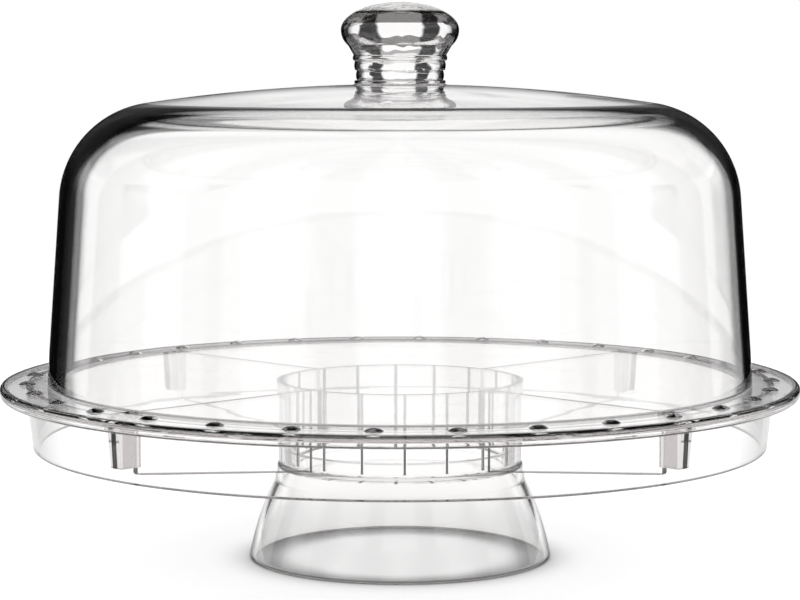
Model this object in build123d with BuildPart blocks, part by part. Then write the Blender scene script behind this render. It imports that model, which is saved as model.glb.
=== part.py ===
from build123d import *
import math
import os

# A clear moulded serving stand: a pedestal, a tray that lifts off it, and a dome with a knob.
# Sizes are in millimetres. The origin is the centre of the pedestal's foot on the table, +Z is up,
# and the front is towards -Y.

# Pedestal: a flared tube with a collar that carries the tray's ring, and a neck inside the ring
pedestal_height = 40.0
foot_diameter = 121.8
foot_land = 1.5
side_radius = 131.0
collar_margin = 0.6
collar_height = 7.5
collar_rounding = 2.0
neck_height = 5.2
neck_clearance = 0.3
pedestal_wall = 2.5

# Tray: a flat plate whose underside carries a ring, a skirt and the dividers between them. From the
# dome outwards its top has a gap, a row of beads and a bare margin up to the lip.
bead_gap = 4.2
bead_diameter = 7.0
bead_height = 1.3
bead_count = 32
bead_turn = 7.75
bead_margin = 7.5
plate_thickness = 3.0
lip_height = 4.9
lip_wall = 3.0
lip_rounding = 1.9
ring_diameter = 99.6
ring_height = 29.4
ring_wall = 2.5
rib_count = 18
rib_width = 1.4
rib_depth = 0.7
rib_turn = 2.2
flange_width = 10.4
skirt_height = 22.4
skirt_draft = 2.4
skirt_wall = 2.5
divider_count = 4
divider_thickness = 2.5
divider_rise = 8.9
divider_gap = 10.6
divider_step = 3.1
divider_corner = 1.4
end_thickness = 6.0

# Dome: a drafted wall, a rounded shoulder and a low crown with a flat seat for the knob
dome_diameter = 282.6
dome_height = 118.4
dome_draft = 4.2
shoulder_radius = 40.0
crown_radius = 700.0
dome_wall = 3.0
seat_height = 0.1
seat_margin = 0.4

# Knob: a solid turned shape, bonded by its spigot into a hole in the crown. From the bottom it has a
# foot, three bands of a stepped neck, a flare, and a head with a rolled underside and a low top that
# follows an ellipse through points at the head angles.
knob_diameter = 47.2
knob_foot_diameter = 36.4
knob_foot_height = 1.5
lower_band_diameter = 34.4
lower_band_height = 4.0
middle_band_diameter = 35.8
middle_band_height = 3.8
upper_band_diameter = 37.0
upper_band_height = 2.2
flare_diameter = 41.4
flare_height = 3.8
head_underside_height = 6.2
head_top_height = 11.0
head_angles = (0, 30, 60, 90)
spigot_diameter = 16.0
spigot_clearance = 0.05

# Small roundings that moulded edges share. Each is held to a share of the wall that it rounds: one
# share where two roundings meet across a wall, and a larger one where a rounding is alone.
edge_rounding = 0.8
paired_share = 0.4
single_share = 0.8

# Heights and radii that follow from the sizes above
ring_bottom = pedestal_height
plate_bottom = ring_bottom + ring_height
plate_top = plate_bottom + plate_thickness
dome_radius = dome_diameter / 2
bead_radius = bead_diameter / 2
bead_circle_radius = dome_radius + bead_gap + bead_radius
tray_radius = bead_circle_radius + bead_radius + bead_margin
ring_radius = ring_diameter / 2
ring_inside = ring_radius - ring_wall
collar_radius = ring_radius + collar_margin
neck_radius = ring_inside - rib_depth - neck_clearance
foot_radius = foot_diameter / 2
skirt_top_radius = tray_radius - flange_width
skirt_bottom = plate_bottom - skirt_height
skirt_bottom_radius = skirt_top_radius - skirt_draft
crown_top = plate_top + dome_height
seat_top = crown_top + seat_height
spigot_radius = spigot_diameter / 2

os.makedirs("parts", exist_ok=True)

# Pedestal, shelled from one solid of revolution that is open at the foot and at the neck
collar_bottom = pedestal_height - collar_height
neck_top = pedestal_height + neck_height
collar_fillet = min(collar_rounding, single_share * (collar_radius - neck_radius))
rim_fillet = min(edge_rounding, paired_share * pedestal_wall)
with BuildPart() as pedestal:
    with BuildSketch(Plane.XZ) as pedestal_outline:
        with BuildLine():
            Line((0, 0), (foot_radius, 0))
            Line((foot_radius, 0), (foot_radius, foot_land))
            RadiusArc((foot_radius, foot_land), (collar_radius, collar_bottom), -side_radius)
            Line((collar_radius, collar_bottom), (collar_radius, pedestal_height))
            Line((collar_radius, pedestal_height), (neck_radius, pedestal_height))
            Line((neck_radius, pedestal_height), (neck_radius, neck_top))
            Line((neck_radius, neck_top), (0, neck_top))
            Line((0, neck_top), (0, 0))
        make_face()
        collar_corner = pedestal_outline.vertices().sort_by_distance((collar_radius, pedestal_height))[0]
        fillet(collar_corner, radius=collar_fillet)
    revolve(axis=Axis.Z)
    foot_face = pedestal.faces().sort_by(Axis.Z)[0]
    neck_face = pedestal.faces().sort_by(Axis.Z)[-1]
    offset(amount=-pedestal_wall, openings=[foot_face, neck_face])
    rim_edges = pedestal.edges().group_by(Axis.Z)
    fillet(rim_edges[0] + rim_edges[-1], radius=rim_fillet)
pedestal.part.label = "pedestal"
export_step(pedestal.part, "parts/pedestal.step")

# One rib of the ring, standing on the ring's inner wall
with BuildPart() as rib:
    with Locations((ring_inside, 0, ring_bottom + ring_height / 2)):
        Box(2 * rib_depth, rib_width, ring_height)

# One divider: a radial wall from the ring to the skirt. Its lower edge rises outwards, and past a
# step it carries a thicker block. Its outer end leans as the skirt does, in the middle of its wall.
divider_start = ring_radius - ring_wall / 2
step_radius = skirt_bottom_radius - divider_gap
step_bottom = ring_bottom + divider_rise
end_bottom = step_bottom + divider_step
end_top_radius = skirt_top_radius - skirt_wall / 2
end_bottom_radius = end_top_radius - skirt_draft * (plate_bottom - end_bottom) / skirt_height
step_fillet = min(divider_corner, single_share * divider_step)
with BuildPart() as divider:
    with BuildSketch(Plane.XZ) as divider_outline:
        with BuildLine():
            Polyline(
                (divider_start, ring_bottom),
                (ring_radius, ring_bottom),
                (step_radius, step_bottom),
                (step_radius, end_bottom),
                (end_bottom_radius, end_bottom),
                (end_top_radius, plate_bottom),
                (divider_start, plate_bottom),
                close=True,
            )
        make_face()
        step_corner = divider_outline.vertices().sort_by_distance((step_radius, step_bottom))[0]
        fillet(step_corner, radius=step_fillet)
    extrude(amount=divider_thickness / 2, both=True)
    with BuildSketch(Plane.XZ):
        with BuildLine():
            Polyline(
                (step_radius, end_bottom),
                (end_bottom_radius, end_bottom),
                (end_top_radius, plate_bottom),
                (step_radius, plate_bottom),
                close=True,
            )
        make_face()
    extrude(amount=end_thickness / 2, both=True)

# One bead of the row round the dome: a low cap of a sphere
bead_top = plate_top + bead_height
bead_sphere = (bead_radius**2 + bead_height**2) / (2 * bead_height)
with BuildPart() as bead:
    with BuildSketch(Plane.XZ):
        with BuildLine():
            Line((0, plate_top), (bead_radius, plate_top))
            RadiusArc((bead_radius, plate_top), (0, bead_top), -bead_sphere)
            Line((0, bead_top), (0, plate_top))
        make_face()
    revolve(axis=Axis.Z)

# Tray
lip_bottom = plate_top - lip_height
lip_inside = tray_radius - lip_wall
lip_fillet = min(lip_rounding, paired_share * lip_height, single_share * lip_wall)
skirt_fillet = min(edge_rounding, paired_share * skirt_wall)
with BuildPart() as tray:
    with BuildSketch(Plane.XZ) as tray_outline:
        with BuildLine():
            Polyline(
                (0, plate_top),
                (tray_radius, plate_top),
                (tray_radius, lip_bottom),
                (lip_inside, lip_bottom),
                (lip_inside, plate_bottom),
                (skirt_top_radius, plate_bottom),
                (skirt_bottom_radius, skirt_bottom),
                (skirt_bottom_radius - skirt_wall, skirt_bottom),
                (skirt_top_radius - skirt_wall, plate_bottom),
                (ring_radius, plate_bottom),
                (ring_radius, ring_bottom),
                (ring_inside, ring_bottom),
                (ring_inside, plate_bottom),
                (0, plate_bottom),
                close=True,
            )
        make_face()
        lip_middle = (tray_radius, plate_top - lip_height / 2)
        lip_corners = tray_outline.vertices().sort_by_distance(lip_middle)[0:2]
        fillet(lip_corners, radius=lip_fillet)
        skirt_foot = (skirt_bottom_radius - skirt_wall / 2, skirt_bottom)
        skirt_corners = tray_outline.vertices().sort_by_distance(skirt_foot)[0:2]
        fillet(skirt_corners, radius=skirt_fillet)
    revolve(axis=Axis.Z)
    with PolarLocations(0, rib_count, start_angle=rib_turn - 90):
        add(rib.part)
    with PolarLocations(0, divider_count, start_angle=180 / divider_count):
        add(divider.part)
    with PolarLocations(bead_circle_radius, bead_count, start_angle=bead_turn - 90):
        add(bead.part)
tray.part.label = "tray"
export_step(tray.part, "parts/tray.step")

# Dome. The wall's straight line meets the crown's arc at a corner, which the shoulder then rounds.
# The corner is found from the wall's line carried down to the height of the arc's centre.
wall_slope = math.tan(math.radians(dome_draft))
crown_centre = crown_top - crown_radius
base_radius = dome_radius + wall_slope * (plate_top - crown_centre)
slope_square = 1 + wall_slope**2
corner_root = math.sqrt(slope_square * crown_radius**2 - base_radius**2)
corner_rise = (wall_slope * base_radius + corner_root) / slope_square
corner_height = crown_centre + corner_rise
corner_radius = base_radius - wall_slope * corner_rise
dome_fillet = min(edge_rounding, paired_share * dome_wall)
seat_radius = knob_foot_diameter / 2 + seat_margin
with BuildPart() as dome:
    with BuildSketch(Plane.XZ) as dome_outline:
        with BuildLine():
            Line((0, plate_top), (dome_radius, plate_top))
            Line((dome_radius, plate_top), (corner_radius, corner_height))
            RadiusArc((corner_radius, corner_height), (0, crown_top), -crown_radius)
            Line((0, crown_top), (0, plate_top))
        make_face()
        shoulder = dome_outline.vertices().sort_by_distance((corner_radius, corner_height))[0]
        fillet(shoulder, radius=shoulder_radius)
    revolve(axis=Axis.Z)
    open_face = dome.faces().sort_by(Axis.Z)[0]
    offset(amount=-dome_wall, openings=open_face)
    with BuildSketch(Plane.XY.offset(seat_top)):
        Circle(seat_radius)
    extrude(amount=-dome_wall)
    with BuildSketch(Plane.XY.offset(seat_top)):
        Circle(spigot_radius + spigot_clearance)
    extrude(amount=-2 * dome_wall, mode=Mode.SUBTRACT)
    foot_edges = dome.edges().group_by(Axis.Z)[0]
    fillet(foot_edges, radius=dome_fillet)
dome.part.label = "dome"
export_step(dome.part, "parts/dome.step")

# Knob
knob_foot_radius = knob_foot_diameter / 2
lower_band_radius = lower_band_diameter / 2
middle_band_radius = middle_band_diameter / 2
upper_band_radius = upper_band_diameter / 2
flare_radius = flare_diameter / 2
knob_radius = knob_diameter / 2
spigot_bottom = seat_top - dome_wall
foot_top = seat_top + knob_foot_height
lower_band_top = foot_top + lower_band_height
middle_band_top = lower_band_top + middle_band_height
upper_band_top = middle_band_top + upper_band_height
flare_top = upper_band_top + flare_height
widest_height = flare_top + head_underside_height
knob_top = widest_height + head_top_height
head_points = []
for head_angle in head_angles:
    across = knob_radius * math.cos(math.radians(head_angle))
    above = head_top_height * math.sin(math.radians(head_angle))
    head_points.append((across, widest_height + above))
with BuildPart() as knob:
    with BuildSketch(Plane.XZ):
        with BuildLine():
            Polyline(
                (0, knob_top),
                (0, spigot_bottom),
                (spigot_radius, spigot_bottom),
                (spigot_radius, seat_top),
                (knob_foot_radius, seat_top),
                (knob_foot_radius, foot_top),
                (lower_band_radius, foot_top),
                (lower_band_radius, lower_band_top),
                (middle_band_radius, lower_band_top),
                (middle_band_radius, middle_band_top),
                (upper_band_radius, middle_band_top),
                (upper_band_radius, upper_band_top),
                (flare_radius, flare_top),
            )
            TangentArc((knob_radius, widest_height), (flare_radius, flare_top), tangent=(0, -1))
            Spline(head_points, tangents=[(0, 1), (-1, 0)])
        make_face()
    revolve(axis=Axis.Z)
knob.part.label = "knob"
export_step(knob.part, "parts/knob.step")
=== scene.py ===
"""The looks of a clear serving stand with a dome, laid out as an add-on.

Every size is in metres, in the frame of the packed model: the origin is the centre of the pedestal's
foot, +Z is up, and the front is towards -Y.
"""

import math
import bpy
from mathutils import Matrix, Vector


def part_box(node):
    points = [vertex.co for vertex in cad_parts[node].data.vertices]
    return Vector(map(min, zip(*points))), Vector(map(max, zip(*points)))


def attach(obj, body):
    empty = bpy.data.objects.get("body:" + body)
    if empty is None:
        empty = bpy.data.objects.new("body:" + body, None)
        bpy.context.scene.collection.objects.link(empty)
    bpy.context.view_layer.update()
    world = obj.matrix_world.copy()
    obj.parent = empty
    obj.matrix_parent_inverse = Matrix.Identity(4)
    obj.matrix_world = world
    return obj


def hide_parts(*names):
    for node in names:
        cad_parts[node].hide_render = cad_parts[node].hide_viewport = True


bl_info = {
    "name": "Clear serving stand",
    "version": (1, 0, 0),
    "blender": (4, 5, 0),
    "location": "View3D > Sidebar > Serving stand",
    "description": "Models the pedestal, tray, dome and knob of a clear serving stand, and its studio",
    "category": "Object",
}

import bpy
from mathutils import Vector

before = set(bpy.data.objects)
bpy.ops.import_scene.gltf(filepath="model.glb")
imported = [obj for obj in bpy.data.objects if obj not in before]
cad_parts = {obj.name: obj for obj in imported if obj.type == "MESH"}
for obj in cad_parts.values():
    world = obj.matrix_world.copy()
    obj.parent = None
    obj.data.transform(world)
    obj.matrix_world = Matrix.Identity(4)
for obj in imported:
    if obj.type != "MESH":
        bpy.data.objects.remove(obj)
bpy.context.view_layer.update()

MM = 0.001
TURN = 2 * math.pi
FRONT = -math.pi / 2

# How finely round shapes are divided
SEGMENTS = 256
ROUNDING_STEPS = 6
SHOULDER_STEPS = 32
CROWN_STEPS = 40
SIDE_STEPS = 48
HEAD_STEPS = 40
BEAD_SEGMENTS = 28
RIB_SEGMENTS = 20
BEAD_STEPS = 6
SMOOTH_ANGLE = math.radians(30)

# Pieces that rest on each other keep this film of air, and points closer than the weld are one
AIR_FILM = 0.05 * MM
WELD = 0.004 * MM

# Room for a bead between two circles of the plate's mesh, as a share of the bead's radius
BEAD_ROOM = 1.3

# Brightness of the booth by elevation in degrees, seen through the plastic and mirrored by it. The first
# two pairs are its bottom and its top, and the others rise between them.
BACKDROP = ((-90, 1.4), (90, 0.8), (13, 1.4), (14.5, 0.6), (21, 0.6), (23, 1.2), (50, 1.2), (60, 0.8))
MIRRORED = ((-90, 0.1), (90, 0.4), (2, 0.1), (5, 0.35), (9, 1.0), (20, 1.0), (25, 0.3))

# Where a panel of the booth begins to fade and has faded, from 0 in its middle to 0.5 between two panels
WIDE_PANEL = (0.29, 0.36)
NARROW_PANEL = (0.07, 0.22)

# How open the floor is where the shadow round the foot is deepest, and what it leaves of the glow there
SHADOW_OPENNESS = 0.4
SHADOW_GLOW = 0.3
SHADOW_SAMPLES = 8

# Width of the camera's sensor, in millimetres
FULL_FRAME = 36.0

# Both lamps look at the lower part of the stand
LAMP_AIM = (0, 0, 0.1)

# The plastic's haze lies in spots of this size and grows as their noise rises between these levels
HAZE_SIZE = 12 * MM
HAZE_DETAIL = 3.0
HAZE_LEVELS = (0.45, 0.80)
RIPPLE_DETAIL = 1.0
RIPPLE_STRENGTH = 0.5

# The left side's painted edge shade turns into the right side's over this distance on each side of the axis
SIDE_BLEND = 80 * MM

# How soft the borders of a painted shade are: in height, in level and in radius
HEIGHT_BORDER = 0.2 * MM
LEVEL_BORDER = 0.002
RADIUS_BORDER = 0.1 * MM

# Bounds of a painted shade: a face's level is 0 where it is upright and 1 where it lies flat
FAR_DOWN = -1.0
FAR_OUT = 1.0
ANY_LEVEL = (0.0, 1.0)
ANY_RADIUS = (0.0, FAR_OUT)
LYING = (0.5, 1.0)
UPRIGHT = (0.0, 0.5)

pedestal_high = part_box("pedestal")[1]
tray_low, tray_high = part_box("tray")
dome_low, dome_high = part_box("dome")
knob_low, knob_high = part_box("knob")


def length(name, description, default):
    """A length in metres, shown in the scene's units."""
    return bpy.props.FloatProperty(
        name=name, description=description, default=default, min=0.0, unit="LENGTH", precision=4
    )


def share(name, description, default):
    """A share from 0 to 1."""
    return bpy.props.FloatProperty(
        name=name, description=description, default=default, min=0.0, max=1.0, subtype="FACTOR"
    )


def count(name, description, default):
    """A whole number of like features."""
    return bpy.props.IntProperty(name=name, description=description, default=default, min=1)


def colour(name, description, default):
    """A colour, linear."""
    return bpy.props.FloatVectorProperty(
        name=name, description=description, default=default, size=3, min=0.0, max=1.0, subtype="COLOR"
    )


def point(name, description, default):
    """A point in metres."""
    return bpy.props.FloatVectorProperty(
        name=name, description=description, default=default, size=3, subtype="TRANSLATION", unit="LENGTH"
    )


class PedestalSizes(bpy.types.PropertyGroup):
    """Sizes of the flared pedestal."""

    foot_radius: length("Foot radius", "Outer radius of the rim on the table", pedestal_high.x)
    foot_land: length("Foot land", "Height of the upright band at the rim", 1.5 * MM)
    side_radius: length("Side radius", "Radius of the arc that the flared side follows", 131 * MM)
    collar_radius: length("Collar radius", "Outer radius of the collar under the tray's ring", 50.4 * MM)
    collar_height: length("Collar height", "Height of the collar's upright band", 7.5 * MM)
    collar_rounding: length("Collar rounding", "Rounding of the collar's upper corner", 2.0 * MM)
    neck_radius: length("Neck radius", "Outer radius of the neck inside the tray's ring", 46.3 * MM)
    wall: length("Wall", "Thickness of the wall", 2.5 * MM)
    rim_rounding: length("Rim rounding", "Rounding of the foot's and the neck's rims", 0.8 * MM)


class TraySizes(bpy.types.PropertyGroup):
    """Sizes of the tray and of what its plate carries."""

    radius: length("Radius", "Outer radius of the flange", tray_high.x)
    plate: length("Plate", "Thickness of the plate", 3.0 * MM)
    lip_height: length("Lip height", "Height of the lip round the flange", 4.9 * MM)
    lip_wall: length("Lip wall", "Thickness of the lip", 3.0 * MM)
    lip_rounding: length("Lip rounding", "Rounding of the lip's outer corners", 1.9 * MM)
    flange: length("Flange", "Width of the flange outside the skirt", 10.4 * MM)
    skirt_height: length("Skirt height", "Height of the skirt under the plate", 22.4 * MM)
    skirt_draft: length("Skirt draft", "How far the skirt leans in over its height", 2.4 * MM)
    wall: length("Wall", "Thickness of the skirt, the ring and the dividers", 2.5 * MM)
    rim_rounding: length("Rim rounding", "Rounding of the skirt's foot", 0.8 * MM)
    ring_radius: length("Ring radius", "Outer radius of the central ring", 49.8 * MM)
    rib_count: count("Ribs", "Upright ribs inside the ring", 18)
    rib_width: length("Rib width", "Width of one rib", 1.4 * MM)
    rib_depth: length("Rib depth", "How far a rib stands in from the ring", 0.7 * MM)
    rib_turn: bpy.props.FloatProperty(
        name="Rib turn", description="Turn of the first rib from the front", default=math.radians(2.2),
        subtype="ANGLE",
    )
    divider_count: count("Dividers", "Radial walls between the ring and the skirt", 4)
    divider_rise: length("Divider rise", "Rise of a divider's lower edge, outwards", 8.9 * MM)
    divider_gap: length("Divider gap", "From the divider's step to the skirt", 10.6 * MM)
    divider_step: length("Divider step", "Height of the step before the end block", 3.1 * MM)
    divider_rounding: length("Divider rounding", "Rounding of the step's corner", 1.4 * MM)
    end_thickness: length("End thickness", "Thickness of a divider's end block", 6.0 * MM)
    bead_count: count("Beads", "Low beads on the flange, round the dome", 32)
    bead_circle: length("Bead circle", "Radius of the circle through the beads", 149.0 * MM)
    bead_radius: length("Bead radius", "Radius of one bead", 3.5 * MM)
    bead_height: length("Bead height", "Height of one bead", 1.3 * MM)
    bead_turn: bpy.props.FloatProperty(
        name="Bead turn", description="Turn of the first bead from the front", default=math.radians(7.75),
        subtype="ANGLE",
    )


class DomeSizes(bpy.types.PropertyGroup):
    """Sizes of the dome."""

    radius: length("Radius", "Outer radius at the foot", dome_high.x)
    height: length("Height", "Height of the crown over the foot", 118.4 * MM)
    draft: bpy.props.FloatProperty(
        name="Draft", description="Lean of the wall", default=math.radians(4.2), subtype="ANGLE"
    )
    shoulder_radius: length("Shoulder radius", "Outer radius of the shoulder", 40 * MM)
    crown_radius: length("Crown radius", "Outer radius of the low crown", 700 * MM)
    wall: length("Wall", "Thickness of the wall", 3.0 * MM)
    foot_rounding: length("Foot rounding", "Rounding of the foot's edges", 0.8 * MM)
    seat_radius: length("Seat radius", "Radius of the flat seat under the knob", 18.6 * MM)
    hole_radius: length("Hole radius", "Radius of the hole for the knob's spigot", 8.05 * MM)


class KnobSizes(bpy.types.PropertyGroup):
    """Sizes of the turned knob."""

    radius: length("Radius", "Radius of the head at its widest", knob_high.x)
    foot_radius: length("Foot radius", "Radius of the foot on the crown", 18.2 * MM)
    foot_height: length("Foot height", "Height of the foot", 1.5 * MM)
    lower_radius: length("Lower band radius", "Radius of the neck's lower band", 17.2 * MM)
    lower_height: length("Lower band height", "Height of the neck's lower band", 4.0 * MM)
    middle_radius: length("Middle band radius", "Radius of the neck's middle band", 17.9 * MM)
    middle_height: length("Middle band height", "Height of the neck's middle band", 3.8 * MM)
    upper_radius: length("Upper band radius", "Radius of the neck's upper band", 18.5 * MM)
    upper_height: length("Upper band height", "Height of the neck's upper band", 2.2 * MM)
    flare_radius: length("Flare radius", "Radius at the top of the flare", 20.7 * MM)
    flare_height: length("Flare height", "Height of the flare", 3.8 * MM)
    underside: length("Head underside", "From the flare to the head's widest height", 6.2 * MM)
    top: length("Head top", "From the head's widest height to the top", 11.0 * MM)
    spigot_radius: length("Spigot radius", "Radius of the spigot in the crown", 8.0 * MM)
    spigot_length: length("Spigot length", "Length of the spigot below the foot", 3.0 * MM)
    bulge: length("Bulge", "How far each band of the neck bulges", 0.4 * MM)


class PlasticLook(bpy.types.PropertyGroup):
    """The finish of the clear plastic, and the colours of the shade painted on it."""

    body: colour("Body", "Colour of the light that the plastic lets through", (0.985, 0.982, 0.980))
    # Painted shade: black for the dark edge bands, the dome's shoulder line and the ribs, in place of the
    # dark studio refracted in them
    edge: colour("Edge", "Colour of the ribs, and where the dome or knob turns away", (0.001, 0.001, 0.001))
    # Painted shade: dark lines on the rims under the plate and a painted dark reflection across the knob's
    # head
    rim: colour("Rim", "Colour of the rims under the plate and the knob's band", (0.06, 0.055, 0.055))
    # Painted shade: grey on the dividers' end blocks, in place of dark streaks refracted through them
    block: colour("Block", "Colour of the blocks at the ends of the dividers", (0.45, 0.42, 0.42))
    # Painted shade: soft dark edges on the pedestal and tray, and dark lines at their feet
    soft_edge_shade: colour("Soft edge", "Colour where the pedestal or tray turns away", (0.30, 0.29, 0.29))
    depth: colour("Depth", "Colour that a long way through the plastic takes on", (0.82, 0.80, 0.80))
    density: bpy.props.FloatProperty(
        name="Density", description="How fast the plastic absorbs light, per metre", default=9.0, min=0.0
    )
    ior: bpy.props.FloatProperty(
        name="IOR", description="Refractive index of acrylic", default=1.49, min=1.0, max=2.0
    )
    polish: share("Polish haze", "Roughness of the most worn spots", 0.012)


class StudioSetup(bpy.types.PropertyGroup):
    """The camera, the lamps and the floor."""

    camera_distance: length("Camera distance", "From the stand's axis to the lens", 1.0432)
    camera_height: length("Camera height", "Height of the lens over the table", 0.2029)
    camera_pitch: bpy.props.FloatProperty(
        name="Camera pitch", description="How far the camera looks down", default=math.radians(5.41),
        subtype="ANGLE",
    )
    lens: bpy.props.FloatProperty(
        name="Lens", description="Focal length in millimetres", default=117.0, subtype="DISTANCE_CAMERA"
    )
    floor_radius: length("Floor radius", "Radius of the round floor", 0.75)
    contact: length("Contact shadow", "How far the dark round the foot reaches", 20 * MM)
    glow_share: share("Glow share", "Share of the floor's glow in what is seen of it", 0.6)
    glow: bpy.props.FloatProperty(
        name="Glow", description="Strength of the floor's glow, seen straight", default=1.4, min=0.0
    )
    glow_through: bpy.props.FloatProperty(
        name="Glow through", description="Its strength, seen through the plastic", default=1.3, min=0.0
    )
    ambient: bpy.props.FloatProperty(
        name="Ambient", description="Strength of the light from all round", default=0.9, min=0.0
    )
    gap: share("Gap", "Brightness of the gaps between the backdrop's panels", 0.05)
    panels: count("Panels", "White panels round the table, one behind the stand", 8)
    bounces: count("Bounces", "How often light may turn inside the plastic", 24)
    key_power: bpy.props.FloatProperty(
        name="Key power", description="Power of the large lamp at the upper left", default=4.0, unit="POWER"
    )
    fill_power: bpy.props.FloatProperty(
        name="Fill power", description="Power of the lamp at the right", default=3.0, unit="POWER"
    )
    key_place: point("Key place", "Where the lamp at the upper left stands", (-1.1, -0.6, 1.3))
    fill_place: point("Fill place", "Where the lamp at the right stands", (1.3, -0.3, 0.9))


def clear_selection():
    """Leaves edit mode and selects nothing, so that the next operator acts only on what it adds."""
    if bpy.context.object and bpy.context.object.mode != "OBJECT":
        bpy.ops.object.mode_set(mode="OBJECT")
    bpy.ops.object.select_all(action="DESELECT")


def make_active(piece):
    """Selects one piece alone."""
    clear_selection()
    piece.select_set(True)
    bpy.context.view_layer.objects.active = piece


def arc(centre, radius, start, end, steps):
    """Points of an arc round a centre, from one angle to another."""
    points = []
    for step in range(steps + 1):
        angle = start + (end - start) * step / steps
        points.append((centre[0] + radius * math.cos(angle), centre[1] + radius * math.sin(angle)))
    return points


def sharp(points):
    """Points with no rounding, for a list of corners."""
    return [(x, z, 0.0) for x, z in points]


def rounded(corners):
    """A closed outline from corners given as (x, z, rounding), with an arc at each rounded one."""
    outline = []
    for index, (x, z, rounding) in enumerate(corners):
        here = Vector((x, z))
        if rounding == 0.0:
            outline.append((x, z))
            continue
        before = (Vector(corners[index - 1][:2]) - here).normalized()
        after = (Vector(corners[(index + 1) % len(corners)][:2]) - here).normalized()
        half = before.angle(after) / 2
        centre = here + (before + after).normalized() * rounding / math.sin(half)
        first = here + before * rounding / math.tan(half) - centre
        last = here + after * rounding / math.tan(half) - centre
        sweep = math.pi - 2 * half
        for step in range(ROUNDING_STEPS + 1):
            angle = sweep * step / ROUNDING_STEPS
            spoke = (first * math.sin(sweep - angle) + last * math.sin(angle)) / math.sin(sweep)
            outline.append(tuple(centre + spoke))
    return outline


def drawn(name, outline):
    """A piece that is one closed outline in the XZ plane, drawn by extruding a point along it."""
    clear_selection()
    bpy.ops.mesh.primitive_plane_add(size=MM, location=(outline[0][0], 0, outline[0][1]))
    piece = bpy.context.object
    piece.name = name
    piece.data.name = name
    bpy.ops.object.transform_apply(location=True, rotation=True, scale=True)
    bpy.ops.object.mode_set(mode="EDIT")
    bpy.ops.mesh.select_mode(type="VERT")
    bpy.ops.mesh.select_all(action="SELECT")
    bpy.ops.mesh.merge(type="CENTER")
    for (x, z), (next_x, next_z) in zip(outline, outline[1:] + outline[:1]):
        move = {"value": (next_x - x, 0, next_z - z)}
        bpy.ops.mesh.extrude_region_move(TRANSFORM_OT_translate=move)
    bpy.ops.mesh.select_all(action="SELECT")
    bpy.ops.mesh.remove_doubles(threshold=WELD)
    return piece


def close_mesh(piece):
    """Welds what coincides and turns every face outwards."""
    bpy.ops.mesh.select_all(action="SELECT")
    bpy.ops.mesh.remove_doubles(threshold=WELD)
    bpy.ops.mesh.select_all(action="SELECT")
    bpy.ops.mesh.normals_make_consistent(inside=False)
    bpy.ops.object.mode_set(mode="OBJECT")
    return piece


def turned(name, outline, segments=SEGMENTS):
    """A piece turned on the stand's axis from a closed outline."""
    piece = drawn(name, outline)
    bpy.ops.mesh.select_all(action="SELECT")
    bpy.ops.mesh.spin(steps=segments, angle=TURN, center=(0, 0, 0), axis=(0, 0, 1))
    bpy.ops.mesh.select_all(action="SELECT")
    bpy.ops.mesh.delete_loose()
    return close_mesh(piece)


def slab(name, outline, thickness):
    """A piece of even thickness across the XZ plane, from a closed outline."""
    piece = drawn(name, outline)
    bpy.ops.mesh.select_all(action="SELECT")
    bpy.ops.mesh.edge_face_add()
    bpy.ops.transform.translate(value=(0, -thickness / 2, 0))
    bpy.ops.mesh.extrude_region_move(TRANSFORM_OT_translate={"value": (0, thickness, 0)})
    return close_mesh(piece)


def repeated(piece, number, start):
    """Copies of a piece spread evenly round the axis, joined with it into one object."""
    copies = []
    for index in range(number):
        make_active(piece)
        bpy.ops.object.duplicate()
        copy = bpy.context.object
        copy.rotation_euler.z = start + TURN * index / number
        bpy.ops.object.transform_apply(location=False, rotation=True, scale=False)
        copies.append(copy)
    bpy.data.objects.remove(piece)
    make_active(copies[0])
    for copy in copies[1:]:
        copy.select_set(True)
    bpy.ops.object.join()
    return bpy.context.object


def united(piece, *additions):
    """The piece with each addition fused to it by a Boolean modifier."""
    for addition in additions:
        make_active(piece)
        union = piece.modifiers.new("Union", "BOOLEAN")
        union.operation = "UNION"
        union.solver = "EXACT"
        union.object = addition
        bpy.ops.object.modifier_apply(modifier=union.name)
        bpy.data.objects.remove(addition)
    return piece


def finished(piece, body, node, material):
    """Smooths a piece, gives it its material, and hands it to the frame."""
    make_active(piece)
    bpy.ops.object.shade_smooth_by_angle(angle=SMOOTH_ANGLE)
    normals = piece.modifiers.new("Face normals", "WEIGHTED_NORMAL")
    normals.keep_sharp = True
    bpy.ops.object.modifier_apply(modifier=normals.name)
    piece.data.materials.clear()
    piece.data.materials.append(material)
    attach(piece, body)
    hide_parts(node)
    return piece


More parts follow.
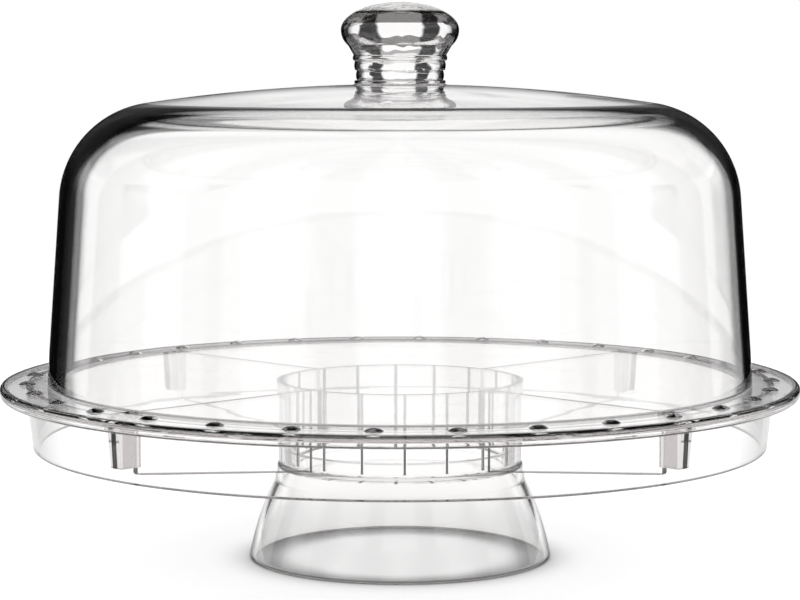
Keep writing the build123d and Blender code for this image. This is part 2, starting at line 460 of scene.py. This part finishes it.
def pedestal_outline(sizes):
    """The pedestal's wall, up its outside and down its inside."""
    foot = Vector((sizes.foot_radius, sizes.foot_land))
    collar_top = tray_low.z - AIR_FILM
    collar = Vector((sizes.collar_radius, tray_low.z - sizes.collar_height))
    chord = collar - foot
    inward = Vector((-chord.y, chord.x)).normalized()
    sagitta = math.sqrt(sizes.side_radius**2 - (chord.length / 2) ** 2)
    centre = foot + chord / 2 + inward * sagitta
    foot_angle = math.atan2(foot.y - centre.y, foot.x - centre.x)
    collar_angle = math.atan2(collar.y - centre.y, collar.x - centre.x)
    inner_radius = sizes.side_radius - sizes.wall
    inner_foot = sizes.foot_radius - sizes.wall
    inner_collar = sizes.collar_radius - sizes.wall
    inner_neck = sizes.neck_radius - sizes.wall
    inner_start = math.acos((inner_foot - centre.x) / inner_radius)
    inner_end = math.acos((inner_collar - centre.x) / inner_radius)
    neck_top = pedestal_high.z
    corners = [(sizes.foot_radius, 0.0, sizes.rim_rounding)]
    corners += sharp(arc(centre, sizes.side_radius, foot_angle, collar_angle, SIDE_STEPS))
    corners += [
        (sizes.collar_radius, collar_top, sizes.collar_rounding),
        (sizes.neck_radius, collar_top, 0.0),
        (sizes.neck_radius, neck_top, sizes.rim_rounding),
        (inner_neck, neck_top, sizes.rim_rounding),
        (inner_neck, collar_top - sizes.wall, 0.0),
        (inner_collar, collar_top - sizes.wall, 0.0),
    ]
    corners += sharp(arc(centre, inner_radius, inner_end, inner_start, SIDE_STEPS))
    corners.append((inner_foot, 0.0, sizes.rim_rounding))
    return rounded(corners)


def plate_faces(sizes):
    """Heights of the plate's upper and lower face."""
    plate_top = tray_high.z - sizes.bead_height
    return plate_top, plate_top - sizes.plate


def tray_outline(sizes):
    """The turned part of the tray: plate, lip, skirt and ring."""
    plate_top, plate_bottom = plate_faces(sizes)
    lip_bottom = plate_top - sizes.lip_height
    lip_inside = sizes.radius - sizes.lip_wall
    skirt_top = sizes.radius - sizes.flange
    skirt_foot = skirt_top - sizes.skirt_draft
    skirt_bottom = plate_bottom - sizes.skirt_height
    ring_inside = sizes.ring_radius - sizes.wall
    bead_room = BEAD_ROOM * sizes.bead_radius
    return rounded(
        [
            (0.0, plate_top, 0.0),
            (sizes.bead_circle - bead_room, plate_top, 0.0),
            (sizes.bead_circle + bead_room, plate_top, 0.0),
            (sizes.radius, plate_top, sizes.lip_rounding),
            (sizes.radius, lip_bottom, sizes.lip_rounding),
            (lip_inside, lip_bottom, 0.0),
            (lip_inside, plate_bottom, 0.0),
            (skirt_top, plate_bottom, 0.0),
            (skirt_foot, skirt_bottom, sizes.rim_rounding),
            (skirt_foot - sizes.wall, skirt_bottom, sizes.rim_rounding),
            (skirt_top - sizes.wall, plate_bottom, 0.0),
            (sizes.ring_radius, plate_bottom, 0.0),
            (sizes.ring_radius, tray_low.z, 0.0),
            (ring_inside, tray_low.z, 0.0),
            (ring_inside, plate_bottom, 0.0),
            (0.0, plate_bottom, 0.0),
        ]
    )


def tray_ribs(sizes):
    """The half-round upright ribs inside the ring."""
    plate_bottom = plate_faces(sizes)[1]
    top = plate_bottom + sizes.rib_depth
    foot = tray_low.z + sizes.rib_depth
    clear_selection()
    bpy.ops.mesh.primitive_cylinder_add(
        vertices=RIB_SEGMENTS,
        radius=sizes.rib_width / 2,
        depth=top - foot,
        location=(sizes.ring_radius - sizes.wall, 0, (foot + top) / 2),
    )
    rib = bpy.context.object
    bpy.ops.object.transform_apply(location=True, rotation=True, scale=True)
    bpy.ops.object.mode_set(mode="EDIT")
    bpy.ops.mesh.select_all(action="DESELECT")
    bpy.ops.object.mode_set(mode="OBJECT")
    for face in rib.data.polygons:
        face.select = face.normal.z < -0.5
    bpy.ops.object.mode_set(mode="EDIT")
    bpy.ops.mesh.select_mode(type="FACE")
    bpy.ops.mesh.bevel(offset=sizes.rib_width / 4, segments=3, affect="EDGES")
    bpy.ops.object.mode_set(mode="OBJECT")
    return repeated(rib, sizes.rib_count, FRONT + sizes.rib_turn)


def tray_dividers(sizes):
    """The radial walls, and the thicker blocks at their outer ends, as two objects."""
    plate_bottom = plate_faces(sizes)[1]
    overlap = sizes.plate / 2
    skirt_top = sizes.radius - sizes.flange - sizes.wall / 2
    lean = sizes.skirt_draft / sizes.skirt_height
    step_x = sizes.radius - sizes.flange - sizes.skirt_draft - sizes.divider_gap
    step_low = tray_low.z + sizes.divider_rise
    step_high = step_low + sizes.divider_step
    start = sizes.ring_radius - sizes.wall / 2
    wall = slab(
        "divider",
        rounded(
            [
                (start, tray_low.z + AIR_FILM, 0.0),
                (sizes.ring_radius, tray_low.z + AIR_FILM, 0.0),
                (step_x, step_low, sizes.divider_rounding),
                (step_x, step_high, 0.0),
                (skirt_top - lean * (plate_bottom - step_high), step_high, 0.0),
                (skirt_top, plate_bottom, 0.0),
                (skirt_top, plate_bottom + overlap, 0.0),
                (start, plate_bottom + overlap, 0.0),
            ]
        ),
        sizes.wall,
    )
    block = slab(
        "end_block",
        rounded(
            [
                (step_x - AIR_FILM, step_high + AIR_FILM, 0.0),
                (skirt_top - lean * (plate_bottom - step_high), step_high + AIR_FILM, 0.0),
                (skirt_top, plate_bottom, 0.0),
                (skirt_top, plate_bottom + overlap / 2, 0.0),
                (step_x - AIR_FILM, plate_bottom + overlap / 2, 0.0),
            ]
        ),
        sizes.end_thickness,
    )
    start_angle = math.pi / sizes.divider_count
    walls = repeated(wall, sizes.divider_count, start_angle)
    blocks = repeated(block, sizes.divider_count, start_angle)
    return walls, blocks


def tray_beads(sizes):
    """The row of low beads round the dome."""
    plate_top = plate_faces(sizes)[0]
    sphere = (sizes.bead_radius**2 + sizes.bead_height**2) / (2 * sizes.bead_height)
    centre = (0.0, tray_high.z - sphere)
    rim_angle = math.acos(sizes.bead_radius / sphere)
    cap = arc(centre, sphere, rim_angle, math.pi / 2, BEAD_STEPS)
    root = plate_top - sizes.plate / 3
    outline = cap + [(0.0, root), (sizes.bead_radius, root)]
    bead = turned("bead", outline, BEAD_SEGMENTS)
    bead.location.x = sizes.bead_circle
    make_active(bead)
    bpy.ops.object.transform_apply(location=True, rotation=False, scale=False)
    return repeated(bead, sizes.bead_count, FRONT + sizes.bead_turn)


def dome_outline(sizes):
    """The dome's wall, out over its crown and down, then back up its inside."""
    foot = dome_low.z + AIR_FILM
    crown_top = dome_low.z + sizes.height
    seat_top = dome_high.z - AIR_FILM
    crown_centre = (0.0, crown_top - sizes.crown_radius)
    slope = math.tan(sizes.draft)
    square = 1 + slope**2
    wall_base = sizes.radius + slope * (dome_low.z - crown_centre[1])
    shoulder_base = wall_base - sizes.shoulder_radius * math.sqrt(square)
    reach = sizes.crown_radius - sizes.shoulder_radius
    rise = (slope * shoulder_base + math.sqrt(square * reach**2 - shoulder_base**2)) / square
    shoulder_centre = (shoulder_base - slope * rise, crown_centre[1] + rise)
    crown_angle = math.atan2(rise, shoulder_centre[0])
    inner_crown = sizes.crown_radius - sizes.wall
    inner_shoulder = sizes.shoulder_radius - sizes.wall
    seat_angle = math.acos(sizes.seat_radius / sizes.crown_radius)
    hole_angle = math.acos(sizes.hole_radius / inner_crown)
    inner_foot = sizes.radius - sizes.wall * math.sqrt(square)
    corners = [(sizes.hole_radius, seat_top, 0.0), (sizes.seat_radius, seat_top, 0.0)]
    corners += sharp(arc(crown_centre, sizes.crown_radius, seat_angle, crown_angle, CROWN_STEPS))
    corners += sharp(
        arc(shoulder_centre, sizes.shoulder_radius, crown_angle, sizes.draft, SHOULDER_STEPS)[1:]
    )
    corners += [(sizes.radius, foot, sizes.foot_rounding), (inner_foot, foot, sizes.foot_rounding)]
    corners += sharp(arc(shoulder_centre, inner_shoulder, sizes.draft, crown_angle, SHOULDER_STEPS))
    corners += sharp(arc(crown_centre, inner_crown, crown_angle, hole_angle, CROWN_STEPS)[1:])
    return rounded(corners)


def knob_outline(sizes):
    """The knob, from the middle of its top down to its spigot."""
    foot = knob_low.z + sizes.spigot_length + AIR_FILM
    foot_top = knob_low.z + sizes.spigot_length + sizes.foot_height
    lower_top = foot_top + sizes.lower_height
    middle_top = lower_top + sizes.middle_height
    upper_top = middle_top + sizes.upper_height
    flare_top = upper_top + sizes.flare_height
    widest = knob_high.z - sizes.top
    head = []
    for step in range(HEAD_STEPS + 1):
        angle = math.pi / 2 * (1 - step / HEAD_STEPS)
        head.append((sizes.radius * math.cos(angle), widest + sizes.top * math.sin(angle)))
    under_radius = ((sizes.radius - sizes.flare_radius) ** 2 + sizes.underside**2) / (
        2 * (sizes.radius - sizes.flare_radius)
    )
    under_centre = (sizes.radius - under_radius, widest)
    under_angle = -math.asin(sizes.underside / under_radius)
    corners = sharp(head)
    corners += sharp(arc(under_centre, under_radius, 0.0, under_angle, ROUNDING_STEPS * 2)[1:])
    for radius, top, bottom in (
        (sizes.upper_radius, upper_top, middle_top),
        (sizes.middle_radius, middle_top, lower_top),
        (sizes.lower_radius, lower_top, foot_top),
    ):
        half = (top - bottom) / 2
        bend = (half**2 + sizes.bulge**2) / (2 * sizes.bulge)
        angle = math.asin(half / bend)
        centre = (radius + sizes.bulge - bend, bottom + half)
        corners += sharp(arc(centre, bend, angle, -angle, ROUNDING_STEPS * 2))
    corners += [
        (sizes.foot_radius, foot_top, sizes.bulge),
        (sizes.foot_radius, foot, sizes.bulge),
        (sizes.spigot_radius, foot, 0.0),
        (sizes.spigot_radius, knob_low.z, 0.0),
        (0.0, knob_low.z, 0.0),
    ]
    return rounded(corners)


def graded(nodes, links, value, start, end, low, high):
    """A soft step of a value from one level to another."""
    step = nodes.new("ShaderNodeMapRange")
    step.interpolation_type = "SMOOTHSTEP"
    step.inputs["From Min"].default_value = start
    step.inputs["From Max"].default_value = end
    step.inputs["To Min"].default_value = low
    step.inputs["To Max"].default_value = high
    links.new(value, step.inputs["Value"])
    return step.outputs["Result"]


def computed(nodes, links, operation, *values):
    """A Math node over sockets and numbers."""
    node = nodes.new("ShaderNodeMath")
    node.operation = operation
    for socket, value in zip(node.inputs, values):
        if isinstance(value, (int, float)):
            socket.default_value = value
        else:
            links.new(value, socket)
    return node.outputs[0]


def tinted(nodes, links, colour, tint, amount):
    """A colour, or another where the amount is 1."""
    mix = nodes.new("ShaderNodeMix")
    mix.data_type = "RGBA"
    if isinstance(colour, bpy.types.NodeSocket):
        links.new(colour, mix.inputs["A"])
    else:
        mix.inputs["A"].default_value = (*colour, 1.0)
    mix.inputs["B"].default_value = (*tint, 1.0)
    links.new(amount, mix.inputs["Factor"])
    return mix.outputs["Result"]


def clear_plastic(name, ripple_size, ripple_height, edge_shade_facings, flat, edge_shade_colour):
    """Clear moulded plastic, polished, with a faint ripple and haze, and painted shade where it turns away
    from the eye.

    The edge pairs are two pairs, for the piece's left and right, of how far a face has to turn away from
    the eye before the painted shade's colour begins and is full. The flat pair is how level a face has to
    be before that colour begins to go and is gone.
    """
    look = bpy.context.scene.stand_plastic
    material = bpy.data.materials.new(name)
    material.use_nodes = True
    nodes = material.node_tree.nodes
    links = material.node_tree.links
    shader = nodes["Principled BSDF"]
    shader.inputs["Transmission Weight"].default_value = 1.0
    shader.inputs["IOR"].default_value = look.ior
    where = nodes.new("ShaderNodeTexCoord").outputs["Object"]
    haze = nodes.new("ShaderNodeTexNoise")
    haze.inputs["Scale"].default_value = 1 / HAZE_SIZE
    haze.inputs["Detail"].default_value = HAZE_DETAIL
    links.new(where, haze.inputs["Vector"])
    wear = graded(nodes, links, haze.outputs["Fac"], *HAZE_LEVELS, 0.0, look.polish)
    links.new(wear, shader.inputs["Roughness"])
    ripple = nodes.new("ShaderNodeTexNoise")
    ripple.inputs["Scale"].default_value = 1 / ripple_size
    ripple.inputs["Detail"].default_value = RIPPLE_DETAIL
    links.new(where, ripple.inputs["Vector"])
    bump = nodes.new("ShaderNodeBump")
    bump.inputs["Strength"].default_value = RIPPLE_STRENGTH
    bump.inputs["Distance"].default_value = ripple_height
    links.new(ripple.outputs["Fac"], bump.inputs["Height"])
    links.new(bump.outputs["Normal"], shader.inputs["Normal"])
    # Painted shade: faces turned away from the eye take the edge colour, wider on the left than on the
    # right, in place of the dark studio refracted at the plastic's edges
    facing = nodes.new("ShaderNodeLayerWeight").outputs["Facing"]
    spot = nodes.new("ShaderNodeSeparateXYZ")
    links.new(where, spot.inputs["Vector"])
    on_right = graded(nodes, links, spot.outputs["X"], -SIDE_BLEND, SIDE_BLEND, 0.0, 1.0)
    left = graded(nodes, links, facing, *edge_shade_facings[0], 0.0, 1.0)
    right = graded(nodes, links, facing, *edge_shade_facings[1], 0.0, 1.0)
    away = nodes.new("ShaderNodeMix")
    away.data_type = "FLOAT"
    links.new(on_right, away.inputs["Factor"])
    links.new(left, away.inputs["A"])
    links.new(right, away.inputs["B"])
    direction = nodes.new("ShaderNodeSeparateXYZ")
    links.new(nodes.new("ShaderNodeNewGeometry").outputs["Normal"], direction.inputs["Vector"])
    level = computed(nodes, links, "ABSOLUTE", direction.outputs["Z"])
    side = graded(nodes, links, level, *flat, 1.0, 0.0)
    amount = computed(nodes, links, "MULTIPLY", away.outputs["Result"], side)
    colour = tinted(nodes, links, look.body, edge_shade_colour, amount)
    links.new(colour, shader.inputs["Base Color"])
    volume = nodes.new("ShaderNodeVolumeAbsorption")
    volume.inputs["Color"].default_value = (*look.depth, 1.0)
    volume.inputs["Density"].default_value = look.density
    links.new(volume.outputs["Volume"], nodes["Material Output"].inputs["Volume"])
    return material


def paint_shade(material, colour, heights, levels=ANY_LEVEL, radii=ANY_RADIUS, slope=0.0, facing=None):
    """Paints shade in another colour on the faces between two heights, two levels and two radii.

    Heights are over a cone that rises outwards by the slope. Facing is how far a face has to turn away
    from the eye before the colour begins and is full.
    """
    nodes = material.node_tree.nodes
    links = material.node_tree.links
    shader = nodes["Principled BSDF"]
    spot = nodes.new("ShaderNodeSeparateXYZ")
    links.new(nodes.new("ShaderNodeTexCoord").outputs["Object"], spot.inputs["Vector"])
    direction = nodes.new("ShaderNodeSeparateXYZ")
    links.new(nodes.new("ShaderNodeNewGeometry").outputs["True Normal"], direction.inputs["Vector"])
    level = computed(nodes, links, "ABSOLUTE", direction.outputs["Z"])
    square = computed(nodes, links, "MULTIPLY", spot.outputs["X"], spot.outputs["X"])
    square = computed(nodes, links, "MULTIPLY_ADD", spot.outputs["Y"], spot.outputs["Y"], square)
    radius = computed(nodes, links, "SQRT", square)
    height = computed(nodes, links, "MULTIPLY_ADD", radius, -slope, spot.outputs["Z"])
    amount = 1.0
    for value, (low, high), border in (
        (height, heights, HEIGHT_BORDER),
        (level, levels, LEVEL_BORDER),
        (radius, radii, RADIUS_BORDER),
    ):
        for part in (
            graded(nodes, links, value, low - border, low, 0.0, 1.0),
            graded(nodes, links, value, high, high + border, 1.0, 0.0),
        ):
            amount = computed(nodes, links, "MULTIPLY", part, amount)
    if facing:
        away = nodes.new("ShaderNodeLayerWeight").outputs["Facing"]
        turned_away = graded(nodes, links, away, *facing, 0.0, 1.0)
        amount = computed(nodes, links, "MULTIPLY", turned_away, amount)
    base = shader.inputs["Base Color"].links[0].from_socket
    links.new(tinted(nodes, links, base, colour, amount), shader.inputs["Base Color"])


def seen(nodes, links):
    """A mask that is 1 for rays that the camera sends straight or through the plastic."""
    path = nodes.new("ShaderNodeLightPath").outputs
    return computed(nodes, links, "MAXIMUM", path["Is Camera Ray"], path["Is Transmission Ray"])


def mixed(nodes, links, mask, plain, masked):
    """A shader, or another where the mask is 1."""
    mix = nodes.new("ShaderNodeMixShader")
    links.new(mask, mix.inputs["Fac"])
    links.new(plain, mix.inputs[1])
    links.new(masked, mix.inputs[2])
    return mix.outputs["Shader"]


def floor_material(studio):
    """A pale floor that glows white where it is seen, and darkens close to the foot."""
    material = bpy.data.materials.new("pale_floor")
    material.use_nodes = True
    nodes = material.node_tree.nodes
    links = material.node_tree.links
    nodes.remove(nodes["Principled BSDF"])
    paint = nodes.new("ShaderNodeBsdfDiffuse")
    paint.inputs["Color"].default_value = (0.95, 0.95, 0.95, 1.0)
    glow = nodes.new("ShaderNodeEmission")
    glow.inputs["Color"].default_value = (1.0, 1.0, 1.0, 1.0)
    strength = nodes.new("ShaderNodeMapRange")
    strength.inputs["To Min"].default_value = studio.glow
    strength.inputs["To Max"].default_value = studio.glow_through
    through = nodes.new("ShaderNodeLightPath").outputs["Is Transmission Ray"]
    links.new(through, strength.inputs["Value"])
    contact = nodes.new("ShaderNodeAmbientOcclusion")
    contact.samples = SHADOW_SAMPLES
    contact.inputs["Distance"].default_value = studio.contact
    shade = graded(nodes, links, contact.outputs["AO"], SHADOW_OPENNESS, 1.0, SHADOW_GLOW, 1.0)
    shown = computed(nodes, links, "MULTIPLY", strength.outputs["Result"], shade)
    links.new(shown, glow.inputs["Strength"])
    glowing = computed(nodes, links, "MULTIPLY", seen(nodes, links), studio.glow_share)
    surface = mixed(nodes, links, glowing, paint.outputs["BSDF"], glow.outputs["Emission"])
    links.new(surface, nodes["Material Output"].inputs["Surface"])
    return material


def booth(nodes, links, height, levels, sheet):
    """The light of the booth's panels, which vary in brightness from bottom to top."""
    heights = nodes.new("ShaderNodeMapRange")
    heights.inputs["From Min"].default_value = -1.0
    links.new(height, heights.inputs["Value"])
    ramp = nodes.new("ShaderNodeValToRGB")
    stops = ramp.color_ramp.elements
    for index, (elevation, level) in enumerate(levels):
        position = (math.sin(math.radians(elevation)) + 1) / 2
        if index < 2:
            stop = stops[index]
            stop.position = position
        else:
            stop = stops.new(position)
        stop.color = (level, level, level, 1.0)
    links.new(heights.outputs["Result"], ramp.inputs["Fac"])
    light = nodes.new("ShaderNodeBackground")
    strength = computed(nodes, links, "MULTIPLY", sheet, ramp.outputs["Color"])
    links.new(strength, light.inputs["Strength"])
    return light.outputs["Background"]


def build_world(studio):
    """White to the camera, a booth of white panels to the plastic, and even light to the floor."""
    world = bpy.data.worlds.new("studio")
    bpy.context.scene.world = world
    world.use_nodes = True
    nodes = world.node_tree.nodes
    links = world.node_tree.links
    even = nodes["Background"]
    even.inputs["Color"].default_value = (1.0, 1.0, 1.0, 1.0)
    even.inputs["Strength"].default_value = studio.ambient
    white = nodes.new("ShaderNodeBackground")
    white.inputs["Color"].default_value = (1.0, 1.0, 1.0, 1.0)
    axes = nodes.new("ShaderNodeSeparateXYZ")
    links.new(nodes.new("ShaderNodeTexCoord").outputs["Generated"], axes.inputs["Vector"])
    turn = computed(nodes, links, "ARCTAN2", axes.outputs["Y"], axes.outputs["X"])
    numbered = computed(nodes, links, "MULTIPLY", turn, studio.panels / TURN)
    from_middle = computed(nodes, links, "PINGPONG", numbered, 0.5)
    wide = graded(nodes, links, from_middle, *WIDE_PANEL, 1.0, studio.gap)
    narrow = graded(nodes, links, from_middle, *NARROW_PANEL, 1.0, studio.gap)
    behind = booth(nodes, links, axes.outputs["Z"], BACKDROP, wide)
    around = booth(nodes, links, axes.outputs["Z"], MIRRORED, narrow)
    path = nodes.new("ShaderNodeLightPath").outputs
    straight = seen(nodes, links)
    mirrored = computed(nodes, links, "SUBTRACT", path["Is Glossy Ray"], straight)
    mirrored.node.use_clamp = True
    backdrop = mixed(nodes, links, path["Is Camera Ray"], behind, white.outputs["Background"])
    shown = mixed(nodes, links, straight, even.outputs["Background"], backdrop)
    surface = mixed(nodes, links, mirrored, shown, around)
    links.new(surface, nodes["World Output"].inputs["Surface"])
    return world


def soft_lamp(name, place, width, height, power):
    """A soft lamp that lights the floor and isn't seen in the plastic."""
    clear_selection()
    bpy.ops.object.light_add(type="AREA", location=place)
    lamp = bpy.context.object
    lamp.name = name
    lamp.data.shape = "RECTANGLE"
    lamp.data.size = width
    lamp.data.size_y = height
    lamp.data.energy = power
    lamp.rotation_euler = (Vector(LAMP_AIM) - Vector(place)).to_track_quat("-Z", "Y").to_euler()
    lamp.visible_glossy = False
    lamp.visible_transmission = False
    return lamp


class STAND_OT_stage(bpy.types.Operator):
    """Set up the camera, the world, the floor and the lamps"""

    bl_idname = "stand.stage"
    bl_label = "Studio"

    def execute(self, context):
        studio = context.scene.stand_studio
        clear_selection()
        tilt = math.pi / 2 - studio.camera_pitch
        place = (0, -studio.camera_distance, studio.camera_height)
        bpy.ops.object.camera_add(location=place, rotation=(tilt, 0, 0))
        camera = context.object
        camera.data.lens = studio.lens
        camera.data.sensor_width = FULL_FRAME
        context.scene.camera = camera
        build_world(studio)
        clear_selection()
        bpy.ops.mesh.primitive_circle_add(
            vertices=SEGMENTS, radius=studio.floor_radius, fill_type="NGON", location=(0, 0, -AIR_FILM)
        )
        floor = context.object
        floor.name = "floor"
        floor.data.materials.append(floor_material(studio))
        soft_lamp("key_lamp", studio.key_place, width=0.2, height=1.2, power=studio.key_power)
        soft_lamp("fill_lamp", studio.fill_place, width=0.6, height=0.9, power=studio.fill_power)
        light = context.scene.cycles
        light.max_bounces = studio.bounces
        light.glossy_bounces = studio.bounces
        light.transmission_bounces = studio.bounces
        context.scene.view_settings.view_transform = "Standard"
        return {"FINISHED"}


class STAND_OT_pedestal(bpy.types.Operator):
    """Model the flared pedestal"""

    bl_idname = "stand.pedestal"
    bl_label = "Pedestal"

    def execute(self, context):
        piece = turned("pedestal_shell", pedestal_outline(context.scene.stand_pedestal))
        look = context.scene.stand_plastic
        plastic = clear_plastic(
            "pedestal_plastic",
            ripple_size=30 * MM,
            ripple_height=0.08 * MM,
            edge_shade_facings=((0.66, 0.90), (0.66, 0.90)),
            flat=(0.75, 0.95),
            edge_shade_colour=look.soft_edge_shade,
        )
        # Painted shade: a dark line round the foot's rim
        shaded_foot_line = (FAR_DOWN, 1.0 * MM)
        paint_shade(plastic, look.soft_edge_shade, shaded_foot_line)
        finished(piece, "pedestal", "pedestal", plastic)
        return {"FINISHED"}


def paint_tray_shade(plastic, sizes):
    """Paints shade on the tray's rims, ribs, end blocks and dividers: dark lines in place of the dark
    studio refracted through them.

    Each pair of heights or radii has a margin for rounded corners, or stops short of the next form.
    """
    look = bpy.context.scene.stand_plastic
    plate_top, plate_bottom = plate_faces(sizes)
    ring_inside = sizes.ring_radius - sizes.wall
    skirt_foot = sizes.radius - sizes.flange - sizes.skirt_draft
    skirt_bottom = plate_bottom - sizes.skirt_height
    block_start = skirt_foot - sizes.divider_gap
    lip_bottom = plate_top - sizes.lip_height
    # Painted shade: dark lines on the level rims under the plate and at the lip, and a soft one at the
    # skirt's foot
    lower_rims = (FAR_DOWN, plate_bottom - 6 * MM)
    paint_shade(plastic, look.rim, lower_rims, LYING)
    lip_rim = (lip_bottom - 1 * MM, lip_bottom + 1 * MM)
    paint_shade(plastic, look.rim, lip_rim, LYING)
    skirt_rim = (skirt_bottom - 1 * MM, skirt_bottom + 0.8 * MM)
    paint_shade(plastic, look.soft_edge_shade, skirt_rim, radii=(skirt_foot - 4 * MM, FAR_OUT))
    # Painted shade: the ribs black and the end blocks grey
    below_plate = (FAR_DOWN, plate_bottom)
    ribs = (0.0, ring_inside - 0.15 * MM)
    paint_shade(plastic, look.edge, below_plate, UPRIGHT, ribs)
    end_blocks = (block_start - 0.1 * MM, skirt_foot - sizes.wall)
    paint_shade(plastic, look.block, below_plate, UPRIGHT, end_blocks)
    # Painted shade: a dark line along the dividers' lower edge
    rise = sizes.divider_rise / (block_start - sizes.ring_radius)
    divider_foot = tray_low.z - rise * sizes.ring_radius
    shaded_foot_line = (divider_foot - 2 * MM, divider_foot + 0.6 * MM)
    dividers = (sizes.ring_radius + 0.5 * MM, block_start - 1 * MM)
    paint_shade(plastic, look.soft_edge_shade, shaded_foot_line, UPRIGHT, dividers, rise)


class STAND_OT_tray(bpy.types.Operator):
    """Model the tray with its lip, beads, skirt, ring, ribs and dividers"""

    bl_idname = "stand.tray"
    bl_label = "Tray"

    def execute(self, context):
        sizes = context.scene.stand_tray
        piece = turned("tray_moulding", tray_outline(sizes))
        walls, blocks = tray_dividers(sizes)
        united(piece, tray_ribs(sizes), walls, blocks, tray_beads(sizes))
        plastic = clear_plastic(
            "tray_plastic",
            ripple_size=35 * MM,
            ripple_height=0.08 * MM,
            edge_shade_facings=((0.50, 0.90), (0.50, 0.90)),
            flat=(0.75, 0.95),
            edge_shade_colour=context.scene.stand_plastic.soft_edge_shade,
        )
        paint_tray_shade(plastic, sizes)
        finished(piece, "tray", "tray", plastic)
        return {"FINISHED"}


class STAND_OT_dome(bpy.types.Operator):
    """Model the dome"""

    bl_idname = "stand.dome"
    bl_label = "Dome"

    def execute(self, context):
        piece = turned("dome_shell", dome_outline(context.scene.stand_dome))
        look = context.scene.stand_plastic
        plastic = clear_plastic(
            "dome_plastic",
            ripple_size=40 * MM,
            ripple_height=0.08 * MM,
            edge_shade_facings=((0.655, 0.70), (0.72, 0.82)),
            flat=(0.91, 0.95),
            edge_shade_colour=look.edge,
        )
        # Painted shade: a dark line across the shoulder where the edge band turns over the crown, and a
        # dark line at the foot
        shaded_shoulder_line = (dome_low.z + 107.9 * MM, dome_low.z + 110.9 * MM)
        paint_shade(plastic, look.edge, shaded_shoulder_line, levels=(0.0, 0.9895), facing=(0.66, 0.78))
        shaded_foot_line = (FAR_DOWN, dome_low.z + 0.7 * MM)
        paint_shade(plastic, look.soft_edge_shade, shaded_foot_line)
        finished(piece, "dome", "dome", plastic)
        return {"FINISHED"}


class STAND_OT_knob(bpy.types.Operator):
    """Model the turned knob"""

    bl_idname = "stand.knob"
    bl_label = "Knob"

    def execute(self, context):
        piece = turned("turned_knob", knob_outline(context.scene.stand_knob))
        look = context.scene.stand_plastic
        plastic = clear_plastic(
            "knob_plastic",
            ripple_size=9 * MM,
            ripple_height=2.5 * MM,
            edge_shade_facings=((0.38, 0.48), (0.44, 0.54)),
            flat=(0.88, 0.93),
            edge_shade_colour=look.edge,
        )
        # Painted reflection: a dark band across the head, in place of the dark room mirrored in it
        band = (knob_high.z - 8.3 * MM, knob_high.z - 4.6 * MM)
        paint_shade(plastic, look.rim, band)
        finished(piece, "dome", "knob", plastic)
        return {"FINISHED"}


class STAND_PT_panel(bpy.types.Panel):
    """The stand's sizes, finish and pieces"""

    bl_idname = "STAND_PT_panel"
    bl_label = "Serving stand"
    bl_space_type = "VIEW_3D"
    bl_region_type = "UI"
    bl_category = "Serving stand"

    def draw(self, context):
        layout = self.layout
        for operator in OPERATORS:
            layout.operator(operator.bl_idname)
        for name, group in GROUPS.items():
            box = layout.box()
            box.label(text=group.__doc__)
            settings = getattr(context.scene, name)
            for field in group.__annotations__:
                box.prop(settings, field)


GROUPS = {
    "stand_pedestal": PedestalSizes,
    "stand_tray": TraySizes,
    "stand_dome": DomeSizes,
    "stand_knob": KnobSizes,
    "stand_plastic": PlasticLook,
    "stand_studio": StudioSetup,
}
OPERATORS = (STAND_OT_stage, STAND_OT_pedestal, STAND_OT_tray, STAND_OT_dome, STAND_OT_knob)


def register():
    """Adds the settings, the operators and the panel."""
    for name, group in GROUPS.items():
        bpy.utils.register_class(group)
        setattr(bpy.types.Scene, name, bpy.props.PointerProperty(type=group))
    for operator in OPERATORS:
        bpy.utils.register_class(operator)
    bpy.utils.register_class(STAND_PT_panel)


def unregister():
    """Takes them away again."""
    bpy.utils.unregister_class(STAND_PT_panel)
    for operator in reversed(OPERATORS):
        bpy.utils.unregister_class(operator)
    for name, group in reversed(GROUPS.items()):
        delattr(bpy.types.Scene, name)
        bpy.utils.unregister_class(group)


def main():
    """Builds the studio and every piece."""
    register()
    bpy.ops.stand.stage()
    bpy.ops.stand.pedestal()
    bpy.ops.stand.tray()
    bpy.ops.stand.dome()
    bpy.ops.stand.knob()
    bpy.context.view_layer.update()


if __name__ == "__main__":
    main()
